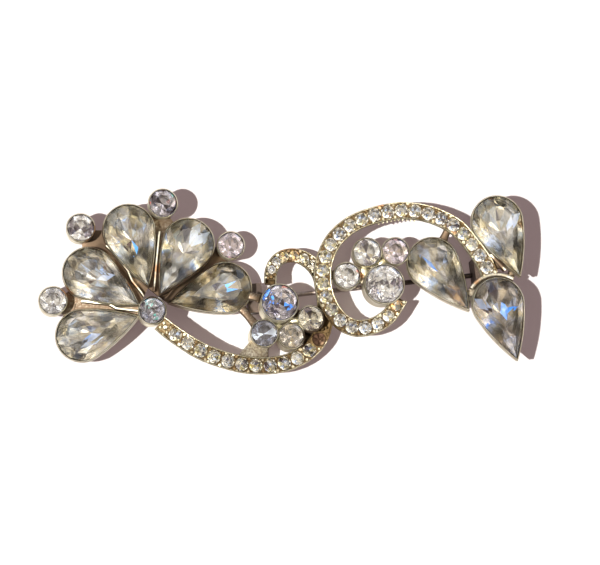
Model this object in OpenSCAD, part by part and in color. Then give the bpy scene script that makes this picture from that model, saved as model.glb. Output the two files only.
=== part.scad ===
// Double-scroll rhinestone brooch, lying on its pin. Millimetres, +Z up from the surface that it lies on.
// +X runs along the brooch from the fan flower to the three leaves, and the stones face +Z.

/* [Pear stones] */
// Length of a pear stone, from round end to tip
pear_l = 13; // [12.6:0.1:13.1]
// Width of a pear stone across its round end
pear_w = 7.8; // [7.6:0.1:7.9]
// Radius of a pear's long sides, in radii of its round end
pear_side = 7; // [6:0.5:9]
// Height of a pear's crown above its girdle
pear_crown = 1.2; // [0.8:0.1:1.6]
// Depth of a pear's pavilion below its girdle
pear_pavilion = 2.5; // [2:0.1:2.6]

/* [Round stones] */
// Height of a round stone's crown, as a share of its diameter
round_crown = 0.22; // [0.15:0.01:0.3]
// Depth of a round stone's pavilion, as a share of its diameter
round_pavilion = 0.45; // [0.35:0.01:0.5]

/* [Cups] */
// Thickness of a cup's wall
cup_wall = 0.22; // [0.2:0.01:0.26]
// Clear gap all round a stone
stone_gap = 0.05; // [0.03:0.01:0.08]
// Height of a cup's rim above the girdle that it grips
rim_rise = 0.3; // [0.2:0.05:0.5]
// Thickness of a cup's floor
cup_floor = 0.5; // [0.3:0.1:0.8]
// Width of the short bars that join the cups
bar_w = 1.5; // [1.2:0.1:1.8]
// Height of those bars
bar_h = 1.3; // [1:0.1:1.6]
// Thickness of the webs behind the petals
web_t = 0.8; // [0.6:0.1:1]

/* [Scrolls] */
// Height of a scroll's metal, from its underside to its rails
scroll_h = 2.6; // [2.5:0.1:2.8]
// Thickness of each rail
rail_t = 0.3; // [0.25:0.05:0.35]
// Depth of the stone channel below the rails
channel_h = 1.15; // [1.1:0.05:1.3]
// Depth of a small stone's girdle below the rails
pave_sink = 0.15; // [0.1:0.05:0.25]

/* [Pin] */
// Diameter of the pin's stem
stem_d = 0.8; // [0.7:0.1:0.9]
// Length of the stem between hinge and catch
stem_l = 33.6; // [33:0.1:34]
// Height of the stem's middle above the surface
stem_z = 1.25; // [1.1:0.05:1.3]
// Width of the hinge and the catch across the stem
pin_w = 4.6; // [4:0.2:5]

/* [Hidden] */
// One row for each pear: name, middle of its round end (x, y), height of its rim, way its tip points, and
// rise of its tip, both in degrees
PEARS = [
    ["petal_lower_left", -31.4, -8.4, 6.0, 18, 8.5],
    ["petal_left", -30.3, 1.4, 6.6, -33.5, 5],
    ["petal_upper_left", -24.0, 8.1, 7.2, -71.3, 1],
    ["petal_upper_right", -14.6, 6.1, 6.6, -119.3, 5],
    ["petal_right", -8.6, -0.6, 4.7, -164.4, 6],
    ["leaf_inner", 23.8, 3.1, 7.0, -53.7, 2.5],
    ["leaf_upper", 33.9, 9.5, 8.6, -68.3, 1],
    ["leaf_lower", 33.8, -3.6, 9.0, -71.6, -4]
];
// One row for each round stone: name, middle (x, y), height of its rim, diameter, height of its cup's
// underside
ROUNDS = [
    ["flower_heart", -20.5, -4.8, 8.8, 4.0, 4.6],
    ["flower_top", -18.7, 12.2, 8.0, 4.2, 4.4],
    ["flower_upper_left", -31.5, 8.4, 7.2, 4.1, 3.8],
    ["flower_left", -35.8, -3.0, 6.6, 4.1, 3.2],
    ["flower_right", -7.9, 6.0, 5.4, 4.0, 2.2],
    ["left_big", -0.6, -3.5, 8.8, 5.5, 2.5],
    ["left_lower", -2.9, -8.1, 7.0, 4.0, 0.9],
    ["left_middle", 1.4, -8.4, 6.4, 3.8, 0.9],
    ["left_inner", 4.5, -5.7, 6.4, 3.8, 1.6],
    ["right_big", 16.0, -0.4, 7.8, 5.9, 2.6],
    ["right_inner", 10.2, 1.0, 7.0, 3.9, 3.6],
    ["right_upper", 13.4, 4.7, 7.2, 4.2, 3.8],
    ["right_outer", 17.9, 4.9, 7.0, 4.0, 3.6]
];
NAME = 0;
RIM = 3;
TURN = 4;
RISE = 5;
STONE_D = 4;
FOOT = 5;
// Middle line of each scroll, a row for each point that bends it: x, y, height of the rails, width
LEFT_SCROLL = [
    [-19.4, -6.7, 8.6, 2.6],
    [-17.1, -8.5, 8.6, 2.7],
    [-13.0, -11.0, 8.1, 2.8],
    [-8.6, -12.5, 7.2, 2.8],
    [-4.4, -13.1, 6.2, 2.8],
    [0.0, -12.7, 5.3, 2.8],
    [3.6, -11.1, 4.6, 2.8],
    [5.9, -8.7, 4.7, 2.8],
    [6.8, -5.6, 4.9, 2.8],
    [6.9, -2.4, 5.0, 2.7],
    [6.4, 0.7, 4.8, 2.6],
    [5.3, 2.8, 4.4, 2.5],
    [3.6, 4.1, 4.6, 2.4],
    [1.5, 4.5, 5.0, 2.3],
    [-0.4, 3.8, 5.5, 2.2],
    [-1.6, 2.0, 6.2, 2.1],
    [-1.9, -0.2, 6.8, 2.0]
];
RIGHT_SCROLL = [
    [32.7, 1.0, 8.0, 2.8],
    [31.7, 3.2, 8.0, 2.8],
    [29.8, 6.0, 7.9, 2.7],
    [27.4, 8.7, 7.8, 2.8],
    [23.6, 10.6, 7.7, 2.8],
    [19.2, 11.3, 7.6, 2.8],
    [14.8, 10.6, 7.5, 2.8],
    [11.0, 9.1, 7.4, 2.8],
    [8.1, 6.5, 7.4, 2.8],
    [6.6, 3.3, 7.4, 2.8],
    [6.3, -0.1, 7.4, 2.8],
    [7.1, -3.2, 7.2, 2.8],
    [8.9, -5.9, 6.9, 2.8],
    [11.4, -7.2, 6.6, 2.8],
    [14.3, -6.8, 6.3, 2.7],
    [16.8, -5.2, 6.0, 2.6],
    [18.8, -2.3, 5.8, 2.5]
];
// Rows of small stones: scroll, place of the first stone along it, step, number of seats, seat that is empty
NO_SEAT = -1;
LEFT_ROWS = [[LEFT_SCROLL, 3.1, 2.33, 12, 11], [LEFT_SCROLL, 41.2, 1.67, 6, NO_SEAT]];
RIGHT_ROWS = [[RIGHT_SCROLL, 1.35, 2.15, 26, NO_SEAT]];
PATH = 0;
FIRST = 1;
STEP = 2;
SEATS = 3;
EMPTY = 4;
// Pairs of cups that a short bar joins
CUP_BARS = [
    ["petal_right", "left_big"],
    ["petal_right", "left_lower"],
    ["left_big", "left_lower"],
    ["left_big", "left_inner"],
    ["right_big", "right_inner"],
    ["right_big", "right_upper"],
    ["right_big", "right_outer"],
    ["right_outer", "leaf_inner"]
];
// Bars from a cup to a point on a scroll or another cup's side: name, x, y, height
END_BARS = [
    ["left_lower", -2.6, -12.6, 4.2],
    ["right_inner", 6.4, 1.6, 5.6],
    ["leaf_inner", 26.6, 9.0, 6.2],
    ["leaf_lower", 29.3, -2.6, 6.0],
    ["leaf_lower", 32.7, 1.4, 6.2],
    ["leaf_lower", 36.6, 2.0, 6.4],
    ["leaf_upper", 34.1, 2.2, 6.6],
    ["right_big", 18.2, -3.4, 4.4]
];
// Three-cornered webs of metal below the rims: each corner is the middle of a cup, or one of these points
TAIL_SIDE = [28.7, -1.6, 6.3];
TAIL_END = [32.7, 1.2, 6.3];
TAIL_TIP = [37.0, 1.4, 6.3];
WEBS = [
    ["flower_heart", "petal_lower_left", "flower_left"],
    ["flower_heart", "flower_left", "petal_left"],
    ["flower_heart", "petal_left", "flower_upper_left"],
    ["flower_heart", "flower_upper_left", "petal_upper_left"],
    ["flower_heart", "petal_upper_left", "flower_top"],
    ["flower_heart", "flower_top", "petal_upper_right"],
    ["flower_heart", "petal_upper_right", "flower_right"],
    ["flower_heart", "flower_right", "petal_right"],
    ["leaf_lower", TAIL_SIDE, TAIL_END],
    ["leaf_lower", TAIL_END, TAIL_TIP]
];
// Depth below the rims at which bars and webs lie
bar_drop = 2;
web_drop = 2.7;
// Band that runs round the lower leaf's round end: inner radius, width, height of its lower and upper edge,
// and the angles between which it runs
band_r = 4.5;
band_w = 0.6;
band_z = [5.8, 7.9];
band_turn = [58, 148];

girdle_t = 0.15;
pear_r = pear_w / 2;
pear_reach = pear_l - pear_r;
side_r = pear_side * pear_r;
side_x = (pear_reach * pear_reach - 2 * side_r * pear_r + pear_r * pear_r) / (2 * pear_reach);
side_y = sqrt(pow(side_r - pear_r, 2) - side_x * side_x);
side_end = atan2(side_y, -side_x);
PEAR_POINTS = 24;
SIDE_POINTS = 6;
ROUND_POINTS = 16;
PAVE_POINTS = 8;
CUP_SIDES = 32;
STEM_SIDES = 24;
BAND_STEPS = 12;
// How far a pear's table and star facets lie inside its girdle, and where the point below it lies along it
pear_table_in = 1.7;
pear_star_in = 0.75;
pear_keel = 1.5;
// Radii of a round stone's table and star facets, and of a small stone's table, as shares of the diameter
round_table = 0.27;
round_star = 0.38;
pave_table = 0.3;
// Height of the star facets' outer corners, as a share of the crown
star_h = 0.5;
// The lower step of a pear's cup is drawn in from its upper step
pear_step_in = 1.1;
pear_step_z = 1.5;
pave_crown = 0.4;
pave_pavilion = 0.75;
// What a small stone leaves free of the scroll's width
pave_margin = 0.9;
// Sections along a scroll, and the finer steps that measure its length
SECTIONS = 52;
FINE_STEPS = 400;
over = 0.6;
// The hinge's pivot end, and the way the stem runs from there
hinge_at = [-3.9, -1.95, 0];
stem_turn = 6.3;
hinge_l = 2.4;
hinge_h = 2.4;
catch_l = 2.6;
catch_h = 5.3;

function place(row) = [row[1], row[2], row[RIM]];
function cup_row(name) = [for (row = concat(PEARS, ROUNDS)) if (row[NAME] == name) row][0];
function waist(name) = place(cup_row(name)) - [0, 0, bar_drop];

// Point i of a pear's outline grown by g, counted from the tip round to the round end and back
function pear_point(i, g) =
    i > PEAR_POINTS / 2 ? let (p = pear_point(PEAR_POINTS - i, g)) [p[0], -p[1]]
    : i < SIDE_POINTS ?
        let (tip = asin(side_y / (side_r + g)), a = tip + (side_end - tip) * i / SIDE_POINTS)
        [side_x + (side_r + g) * cos(a), -side_y + (side_r + g) * sin(a)]
    : let (a = side_end + (180 - side_end) * (i - SIDE_POINTS) / (PEAR_POINTS / 2 - SIDE_POINTS))
        (pear_r + g) * [cos(a), sin(a)];
function pear_ring(g) = [for (i = [0:PEAR_POINTS - 1]) pear_point(i, g)];
function round_ring(r, n) = [for (i = [0:n - 1]) r * [cos(360 * i / n), sin(360 * i / n)]];

function lifted(ring, z) = [for (p = ring) [p[0], p[1], z]];
function every_other(ring, first) = [for (i = [first:2:len(ring) - 1]) ring[i]];
function turned_over(faces) = [for (f = faces) [for (i = [len(f) - 1:-1:0]) f[i]]];

// A brilliant-cut stone: table, star, kite and girdle facets, then a pavilion that ends in a point.
// Its girdle's upper edge is at z = 0.
module cut_stone(girdle, star, table, crown, pavilion, keel) {
    n = len(girdle);
    h = n / 2;
    points = concat(
        lifted(every_other(table, 0), crown), lifted(every_other(star, 1), crown * star_h),
        lifted(girdle, 0), lifted(girdle, -girdle_t), [[keel, 0, -pavilion]]
    );
    faces = concat(
        [[for (j = [0:h - 1]) j]],
        [for (j = [0:h - 1]) each let (
            t = j, t_next = (j + 1) % h, m = h + j, m_back = h + (j + h - 1) % h,
            g = n + 2 * j, g_odd = g + 1, g_next = n + (2 * j + 2) % n
        ) [[t, m, t_next], [t, g, m], [t, m_back, g], [m, g, g_odd], [m, g_odd, g_next]]],
        [for (i = [0:n - 1]) each let (g = n + i, g_next = n + (i + 1) % n)
            [[g, g + n, g_next + n], [g, g_next + n, g_next], [g + n, 3 * n, g_next + n]]]
    );
    polyhedron(points = points, faces = turned_over(faces));
}

// A small stone with a table, 8 crown facets and 8 pavilion facets, its girdle at z = 0
module small_stone(d) {
    n = PAVE_POINTS;
    points = concat(
        lifted(round_ring(d * pave_table, n), pave_crown), lifted(round_ring(d / 2, n), 0),
        [[0, 0, -pave_pavilion]]
    );
    faces = concat(
        [[for (i = [0:n - 1]) i]],
        [for (i = [0:n - 1]) each let (next = (i + 1) % n)
            [[i, n + i, n + next], [i, n + next, next], [n + i, 2 * n, n + next]]]
    );
    polyhedron(points = points, faces = turned_over(faces));
}

// Carries a pear's own frame to its place, with its tip raised and turned
module at_pear(row) {
    translate(place(row)) rotate([0, -row[RISE], row[TURN]]) children();
}

module pear_stone(row) {
    color("ivory") at_pear(row) translate([0, 0, -rim_rise])
        cut_stone(pear_ring(0), pear_ring(-pear_star_in), pear_ring(-pear_table_in),
            pear_crown, pear_pavilion, pear_keel);
}

module round_stone(row) {
    d = row[STONE_D];
    color("white") translate(place(row) - [0, 0, rim_rise])
        cut_stone(round_ring(d / 2, ROUND_POINTS), round_ring(d * round_star, ROUND_POINTS),
            round_ring(d * round_table, ROUND_POINTS), d * round_crown, d * round_pavilion, 0);
}

// A slab with a pear's outline grown by g, between two heights
module pear_slab(g, low, high) {
    translate([0, 0, low]) linear_extrude(high - low) polygon(pear_ring(g));
}

pear_cup_h = rim_rise + pear_pavilion + stone_gap + cup_floor;

module pear_cup_body(row) {
    g = stone_gap + cup_wall;
    at_pear(row) {
        pear_slab(g, -pear_step_z - rim_rise, 0);
        pear_slab(g - pear_step_in, -pear_cup_h, -pear_step_z);
    }
}

module pear_cup_hollow(row) {
    at_pear(row) {
        pear_slab(stone_gap, -pear_step_z, over);
        pear_slab(stone_gap - pear_step_in, cup_floor - pear_cup_h, over);
    }
}

module round_cup_body(row) {
    translate([row[1], row[2], row[FOOT]])
        cylinder(h = row[RIM] - row[FOOT], r = row[STONE_D] / 2 + stone_gap + cup_wall, $fn = CUP_SIDES);
}

module round_cup_hollow(row) {
    d = row[STONE_D];
    depth = rim_rise + d * round_pavilion + stone_gap;
    translate(place(row) - [0, 0, depth]) cylinder(h = depth + over, r = d / 2 + stone_gap, $fn = CUP_SIDES);
}

module bar(from, to) {
    run = to - from;
    translate(from) rotate([0, -asin(run[2] / norm(run)), atan2(run[1], run[0])])
        translate([0, -bar_w / 2, -bar_h / 2]) cube([norm(run), bar_w, bar_h]);
}

function web_corner(spot) = is_string(spot) ? place(cup_row(spot)) - [0, 0, web_drop] : spot;

// A flat three-cornered web, its corners named or placed clockwise as seen from above
module web(spots) {
    corners = [for (spot = spots) web_corner(spot)];
    sides = [for (i = [0:2]) each let (next = (i + 1) % 3) [[i, i + 3, next + 3], [i, next + 3, next]]];
    points = concat(corners, [for (p = corners) p - [0, 0, web_t]]);
    polyhedron(points = points, faces = concat([[0, 1, 2], [5, 4, 3]], sides));
}

module tail_band() {
    leaf = cup_row("leaf_lower");
    step = (band_turn[1] - band_turn[0]) / BAND_STEPS;
    inside = [for (i = [0:BAND_STEPS]) let (a = band_turn[0] + i * step) band_r * [cos(a), sin(a)]];
    outside = [for (i = [0:BAND_STEPS]) inside[BAND_STEPS - i] * (band_r + band_w) / band_r];
    translate([leaf[1], leaf[2], band_z[0]])
        linear_extrude(band_z[1] - band_z[0])
            polygon(concat(inside, outside));
}

// Row i of a scroll, carried on in a straight line past both of its ends
function scroll_row(path, i) =
    i < 0 ? 2 * path[0] - path[1]
    : i >= len(path) ? 2 * path[len(path) - 1] - path[len(path) - 2]
    : path[i];
// Smooth curve through the rows of a scroll, at t rows from its start
function scroll_at(path, t) =
    let (
        i = min(floor(t), len(path) - 2), u = t - i,
        a = scroll_row(path, i - 1), b = path[i], c = path[i + 1], d = scroll_row(path, i + 2)
    )
    b + 0.5 * u * (c - a + u * (2 * a - 5 * b + 4 * c - d + u * (3 * (b - c) + d - a)));
function middle(row) = [row[0], row[1], row[2]];

// Pairs of length along the scroll and t, so that lookup() turns one into the other
function length_table(path) =
    let (
        step = (len(path) - 1) / FINE_STEPS,
        p = [for (i = [0:FINE_STEPS]) middle(scroll_at(path, i * step))]
    )
    [for (i = 0, s = 0; i <= FINE_STEPS; s = s + (i < FINE_STEPS ? norm(p[i + 1] - p[i]) : 0), i = i + 1)
        [s, i * step]];

// Unit vector along the scroll at t, and its left side in plan
function heading(path, t) =
    let (e = 0.01, run = middle(scroll_at(path, min(t + e, len(path) - 1)) - scroll_at(path, max(t - e, 0))))
    run / norm(run);
function left_of(v) = [-v[1], v[0], 0] / norm([v[0], v[1]]);

// Sweeps a rectangle along part of a scroll: inset from each side, low and high below the rails
module swept(path, t_from, t_to, inset, low, high) {
    rings = [for (k = [0:SECTIONS]) let (
        t = t_from + (t_to - t_from) * k / SECTIONS,
        row = scroll_at(path, t), side = left_of(heading(path, t)) * (row[3] / 2 - inset)
    ) each [
        middle(row) + side + [0, 0, low], middle(row) - side + [0, 0, low],
        middle(row) - side + [0, 0, high], middle(row) + side + [0, 0, high]
    ]];
    sides = [for (k = [0:SECTIONS - 1], j = [0:3]) each let (
        a = 4 * k + j, b = 4 * k + (j + 1) % 4
    ) [[a, b, b + 4], [a, b + 4, a + 4]]];
    polyhedron(points = rings, faces = concat([[3, 2, 1, 0]], sides, [[for (j = [0:3]) 4 * SECTIONS + j]]));
}

// Stretches of channel in t: the left scroll is plain where the right one passes over it
LEFT_CHANNELS = [[0.6, 8.1], [10.8, 15.7]];
RIGHT_CHANNELS = [[0.12, 15.85]];

module scroll_body(path) {
    swept(path, 0, len(path) - 1, 0, -scroll_h, 0);
}

module scroll_channels(path, stretches) {
    for (s = stretches) swept(path, s[0], s[1], rail_t, -channel_h, over);
}

module setting() {
    color("tan") difference() {
        union() {
            scroll_body(LEFT_SCROLL);
            scroll_body(RIGHT_SCROLL);
            for (row = PEARS) pear_cup_body(row);
            for (row = ROUNDS) round_cup_body(row);
            for (pair = CUP_BARS) bar(waist(pair[0]), waist(pair[1]));
            for (end = END_BARS) bar(waist(end[0]), [end[1], end[2], end[3]]);
            for (spots = WEBS) web(spots);
            tail_band();
        }
        scroll_channels(LEFT_SCROLL, LEFT_CHANNELS);
        scroll_channels(RIGHT_SCROLL, RIGHT_CHANNELS);
        for (row = PEARS) pear_cup_hollow(row);
        for (row = ROUNDS) round_cup_hollow(row);
    }
}

module pave(rows) {
    color("whitesmoke") for (row = rows) {
        path = row[PATH];
        table = length_table(path);
        for (i = [0:row[SEATS] - 1]) if (i != row[EMPTY]) {
            t = lookup(row[FIRST] + i * row[STEP], table);
            at = scroll_at(path, t);
            way = heading(path, t);
            translate(middle(at) - [0, 0, pave_sink])
                rotate([0, -asin(way[2]), atan2(way[1], way[0])])
                small_stone(at[3] - pave_margin);
        }
    }
}

module pave_left() {
    pave(LEFT_ROWS);
}

module pave_right() {
    pave(RIGHT_ROWS);
}

// Hinge, stem and catch in the stem's own frame, which runs along +X
module pin_back() {
    color("darkgoldenrod") translate(hinge_at) rotate(stem_turn) {
        translate([-hinge_l / 2, -pin_w / 2, 0]) cube([hinge_l, pin_w, hinge_h]);
        translate([0, 0, stem_z]) rotate([0, 90, 0])
            cylinder(h = hinge_l / 2 + stem_l + catch_l / 2, d = stem_d, $fn = STEM_SIDES);
        translate([hinge_l / 2 + stem_l, -pin_w / 2, 0]) cube([catch_l, pin_w, catch_h]);
    }
}

setting();
pave_left();
pave_right();
pin_back();
for (row = PEARS) pear_stone(row);
for (row = ROUNDS) round_stone(row);
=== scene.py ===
"""Looks of a double-scroll rhinestone brooch that lies on white paper in sunlight.

Sizes are in millimetres until a mesh is made. The tables repeat those of the solids, so each piece lies
where its solid does: +X runs from the flower to the leaves, and the stones face +Z.
"""

import math
import random

import bmesh
import bpy
import numpy as np
from mathutils import Matrix, Quaternion, Vector


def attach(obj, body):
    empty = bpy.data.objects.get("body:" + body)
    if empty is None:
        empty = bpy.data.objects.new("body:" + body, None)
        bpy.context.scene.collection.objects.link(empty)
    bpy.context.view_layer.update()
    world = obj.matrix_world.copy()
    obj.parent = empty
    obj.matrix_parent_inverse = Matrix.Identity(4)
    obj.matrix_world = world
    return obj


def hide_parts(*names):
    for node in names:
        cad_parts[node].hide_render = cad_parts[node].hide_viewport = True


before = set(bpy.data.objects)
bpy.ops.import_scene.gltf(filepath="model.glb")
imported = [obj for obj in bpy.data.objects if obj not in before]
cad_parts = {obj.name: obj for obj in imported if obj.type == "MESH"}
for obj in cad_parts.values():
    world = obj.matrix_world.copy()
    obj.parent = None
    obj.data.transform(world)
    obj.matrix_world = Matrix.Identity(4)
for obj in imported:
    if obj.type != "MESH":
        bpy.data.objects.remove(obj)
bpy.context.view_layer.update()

MM = 0.001
WHOLE_TURN = 2 * math.pi

# Cups of the pear stones: name, middle of the round end (x, y), height of the rim, way that the tip points
# and its rise in degrees
PEARS = [
    ("petal_lower_left", -31.4, -8.4, 6.0, 18.0, 8.5),
    ("petal_left", -30.3, 1.4, 6.6, -33.5, 5.0),
    ("petal_upper_left", -24.0, 8.1, 7.2, -71.3, 1.0),
    ("petal_upper_right", -14.6, 6.1, 6.6, -119.3, 5.0),
    ("petal_right", -8.6, -0.6, 4.7, -164.4, 6.0),
    ("leaf_inner", 23.8, 3.1, 7.0, -53.7, 2.5),
    ("leaf_upper", 33.9, 9.5, 8.6, -68.3, 1.0),
    ("leaf_lower", 33.8, -3.6, 9.0, -71.6, -4.0),
]
# Cups of the round stones: name, middle (x, y), height of the rim, diameter of the stone, height of the
# cup's underside
ROUNDS = [
    ("flower_heart", -20.5, -4.8, 8.8, 4.0, 4.6),
    ("flower_top", -18.7, 12.2, 8.0, 4.2, 4.4),
    ("flower_upper_left", -31.5, 8.4, 7.2, 4.1, 3.8),
    ("flower_left", -35.8, -3.0, 6.6, 4.1, 3.2),
    ("flower_right", -7.9, 6.0, 5.4, 4.0, 2.2),
    ("left_big", -0.6, -3.5, 8.8, 5.5, 2.5),
    ("left_lower", -2.9, -8.1, 7.0, 4.0, 0.9),
    ("left_middle", 1.4, -8.4, 6.4, 3.8, 0.9),
    ("left_inner", 4.5, -5.7, 6.4, 3.8, 1.6),
    ("right_big", 16.0, -0.4, 7.8, 5.9, 2.6),
    ("right_inner", 10.2, 1.0, 7.0, 3.9, 3.6),
    ("right_upper", 13.4, 4.7, 7.2, 4.2, 3.8),
    ("right_outer", 17.9, 4.9, 7.0, 4.0, 3.6),
]
# Middle lines of the scrolls, which end in their curls: x, y, height of the rails, width
LEFT_SCROLL = np.array([
    (-19.4, -6.7, 8.6, 2.6),
    (-17.1, -8.5, 8.6, 2.7),
    (-13.0, -11.0, 8.1, 2.8),
    (-8.6, -12.5, 7.2, 2.8),
    (-4.4, -13.1, 6.2, 2.8),
    (0.0, -12.7, 5.3, 2.8),
    (3.6, -11.1, 4.6, 2.8),
    (5.9, -8.7, 4.7, 2.8),
    (6.8, -5.6, 4.9, 2.8),
    (6.9, -2.4, 5.0, 2.7),
    (6.4, 0.7, 4.8, 2.6),
    (5.3, 2.8, 4.4, 2.5),
    (3.6, 4.1, 4.6, 2.4),
    (1.5, 4.5, 5.0, 2.3),
    (-0.4, 3.8, 5.5, 2.2),
    (-1.6, 2.0, 6.2, 2.1),
    (-1.9, -0.2, 6.8, 2.0),
])
RIGHT_SCROLL = np.array([
    (32.7, 1.0, 8.0, 2.8),
    (31.7, 3.2, 8.0, 2.8),
    (29.8, 6.0, 7.9, 2.7),
    (27.4, 8.7, 7.8, 2.8),
    (23.6, 10.6, 7.7, 2.8),
    (19.2, 11.3, 7.6, 2.8),
    (14.8, 10.6, 7.5, 2.8),
    (11.0, 9.1, 7.4, 2.8),
    (8.1, 6.5, 7.4, 2.8),
    (6.6, 3.3, 7.4, 2.8),
    (6.3, -0.1, 7.4, 2.8),
    (7.1, -3.2, 7.2, 2.8),
    (8.9, -5.9, 6.9, 2.8),
    (11.4, -7.2, 6.6, 2.8),
    (14.3, -6.8, 6.3, 2.7),
    (16.8, -5.2, 6.0, 2.6),
    (18.8, -2.3, 5.8, 2.5),
])
# Rows of seats: place of the first along the scroll, step, number of seats, seat that is empty
NO_SEAT = -1
LEFT_ROWS = [(3.1, 2.33, 12, 11), (41.2, 1.67, 6, NO_SEAT)]
RIGHT_ROWS = [(1.35, 2.15, 26, NO_SEAT)]
# What a small stone leaves free of the scroll's width, and the gap between a stone and its seat
STONE_MARGIN = 0.65
SEAT_GAP = 0.02
# Bars between cups: cup, cup, tarnish
CUP_BARS = [
    ("petal_right", "left_big", 0.62),
    ("petal_right", "left_lower", 0.62),
    ("left_big", "left_lower", 0.6),
    ("left_big", "left_inner", 0.6),
    ("right_big", "right_inner", 0.5),
    ("right_big", "right_upper", 0.5),
    ("right_big", "right_outer", 0.5),
    ("right_outer", "leaf_inner", 0.6),
]
# Bars that leave one cup: cup, where the bar ends (x, y, height), tarnish
END_BARS = [
    ("left_lower", -2.6, -12.6, 4.2, 0.55),
    ("right_inner", 6.4, 1.6, 5.6, 0.6),
    # darker than the others, as painted shade
    ("leaf_inner", 26.6, 9.0, 6.2, 0.8),
    ("leaf_lower", 29.3, -2.6, 6.0, 0.5),
    ("leaf_lower", 32.7, 1.4, 6.2, 0.6),
    ("leaf_lower", 36.6, 2.0, 6.4, 0.6),
    ("leaf_upper", 34.1, 2.2, 6.6, 0.6),
    ("right_big", 18.2, -3.4, 4.4, 0.6),
]
# Lumps of solder in the corners between three cups: the cups, depth of the lump's top below their rims
SOLDER = [
    ("right_inner", "right_upper", "right_big", 0.9),
    ("right_upper", "right_outer", "right_big", 0.9),
    ("left_big", "left_lower", "left_middle", 1.0),
    ("left_big", "left_middle", "left_inner", 1.0),
]
# A lump darkened with painted shade, for the deep shade in the corner beside the empty seat: middle
# (x, y), radius, height of its top, darkness
PAINTED_SHADE_LUMP = (4.05, -8.35, 0.95, 3.5, 1.0)
# Webs run from the heart between two petals to the round stone between their outer ends
WEBS = [
    ("petal_lower_left", "petal_left", "flower_left"),
    ("petal_left", "petal_upper_left", "flower_upper_left"),
    ("petal_upper_left", "petal_upper_right", "flower_top"),
    ("petal_upper_right", "petal_right", "flower_right"),
]
# Depth of the bars and of the webs below the cups' rims, and the webs' thickness
BAR_DROP = 2.0
WEB_DROP = 2.7
WEB_T = 0.8
# Line on which the plate round the lower leaf ends (x, y, height)
TAIL_LINE = [(28.7, -1.6, 6.3), (32.7, 1.2, 6.3), (37.0, 1.4, 6.3)]
# The band round the lower leaf: its radius, the height of its foot, and the angles that it runs between
BAND_R = 4.8
BAND_FOOT = 5.8
BAND_TURN = (58, 148)
# Line of a sliver of metal along the upper leaf's lip (x, y, height)
SLIVER = [(32.9, 4.3, 6.3), (34.2, 3.0, 6.3), (35.2, 1.9, 6.3)]
# Thin walls that stand on a line: width, height, tarnish at the foot and along the top
WEB_FIN = (0.36, 1.1, 0.8, 0.05)
BAND_FIN = (0.6, 2.1, 0.7, 0.4)
SLIVER_FIN = (0.6, 1.5, 0.9, 0.15)
# The skirt from the lower left cup to the scroll: angles on the cup, height there, stretch of the scroll,
# and how far beside the scroll's middle line and below its rails the skirt ends
SKIRT_TURN = (205, 290)
SKIRT_Z = 5.4
SKIRT_RUN = (13.8, 18.4)
SKIRT_ASIDE = 1.15
SKIRT_DOWN = 1.0

# Pear stones: length, radius of the round end, radius of the sides, and distance of the tip from the round
# end's middle
PEAR_L = 13.0
PEAR_R = 3.9
PEAR_SIDE_R = 7 * PEAR_R
PEAR_REACH = PEAR_L - PEAR_R
# Middle of a side's arc, which lies across the stone from it, and the angle at which it meets the round end
SIDE_X = (PEAR_REACH**2 - 2 * PEAR_SIDE_R * PEAR_R + PEAR_R**2) / (2 * PEAR_REACH)
SIDE_Y = math.sqrt((PEAR_SIDE_R - PEAR_R) ** 2 - SIDE_X**2)
SIDE_END = math.atan2(SIDE_Y, -SIDE_X)
# Depth of a stone's girdle below its cup's rim, and distance of the wall's middle from the stone
GIRDLE_DROP = 0.3
WALL_MIDDLE = 0.16
# A pear cup's narrower lower wall: how far inside the stone's outline it is, and the depth where it begins
LOWER_WALL = 0.88
LOWER_WALL_DROP = 1.95
# Points of a pear cup's outline along each side and round half of the end
CUP_POINTS = (16, 18)

CUPS = {row[0]: row for row in PEARS + ROUNDS}

# Round stones that are cut with one more ring of facets
FINE_CUT = ("flower_heart", "left_big", "right_big")
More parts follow.
